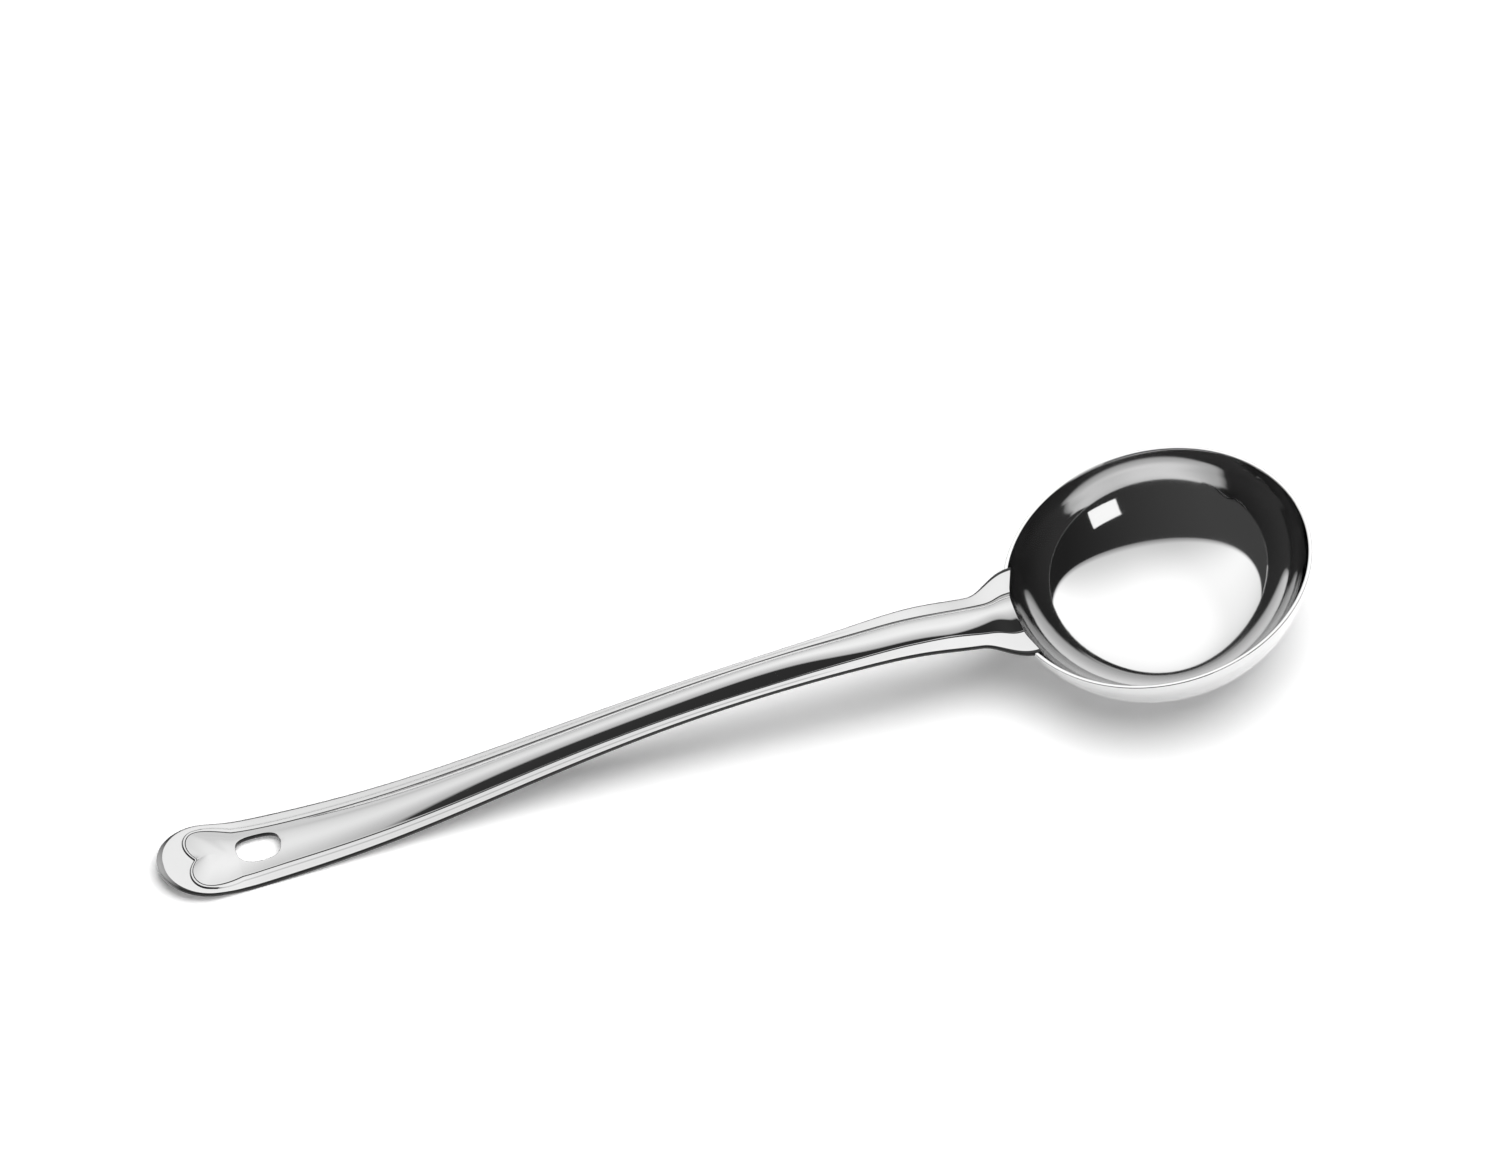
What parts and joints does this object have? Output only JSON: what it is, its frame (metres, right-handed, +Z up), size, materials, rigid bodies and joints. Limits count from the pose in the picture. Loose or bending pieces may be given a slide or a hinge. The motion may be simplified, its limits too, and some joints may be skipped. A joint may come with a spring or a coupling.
{
  "type": "ladle",
  "caption": "Stainless steel serving ladle: a round drawn bowl on a long pressed sheet handle with a raised crown, flared wings at the rim and a hanging hole.",
  "frame": {"origin": "middle of the ladle's box in plan, on the table it lies on", "axes": "+Z up from the table, +X along the handle from its free end to the bowl, Y across the handle"},
  "size_m": [0.3278, 0.0864, 0.0346],
  "materials": {
    "polished_steel": "mirror-polished stainless steel sheet",
    "weld_steel": "weld bead, brushed clean"
  },
  "bodies": {
    "root": {"bowl": "polished_steel", "handle": "polished_steel", "weld_left": "weld_steel", "weld_right": "weld_steel"}
  },
  "joints": []
}
